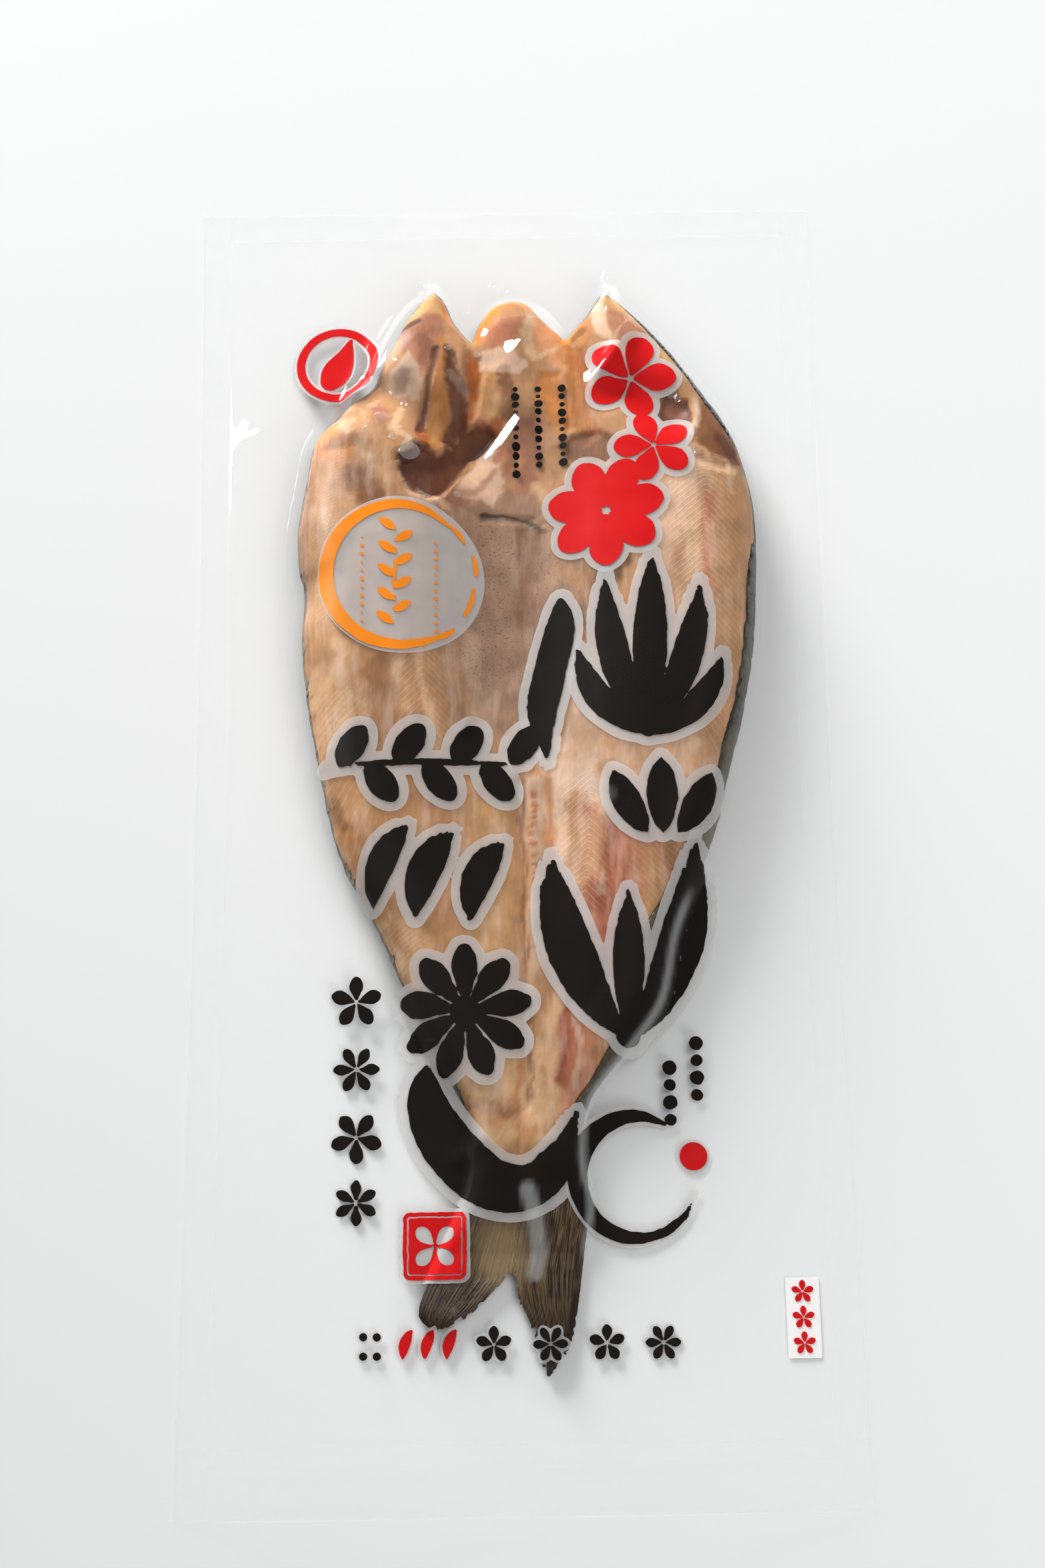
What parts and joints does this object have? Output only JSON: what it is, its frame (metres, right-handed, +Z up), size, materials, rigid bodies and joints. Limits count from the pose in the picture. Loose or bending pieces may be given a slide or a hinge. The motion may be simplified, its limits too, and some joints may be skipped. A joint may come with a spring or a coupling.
{
  "type": "dried fish in a sealed pouch",
  "caption": "Half-dried atka mackerel, opened flat along its back, flesh side up in a clear, flat vacuum pouch with a printed film and a loose flap at its foot.",
  "frame": {"origin": "middle of the pouch's footprint, on the surface it lies on", "axes": "+Y along the pouch to the fish's head, +Z up through the shown flesh side, +X across the pouch to the viewer's right"},
  "size_m": [0.22, 0.452, 0.0208],
  "materials": {
    "film": "clear glossy film",
    "fish_flesh": "moist, translucent peach to salmon flesh",
    "fish_skin": "wet grey-olive skin",
    "tail_fin": "dark brown rays",
    "ink_black": "glossy print under film",
    "ink_white": "frosted print",
    "ink_red": "glossy print",
    "ink_orange": "glossy print"
  },
  "bodies": {
    "root": {"pouch": "film"}
  },
  "joints": []
}
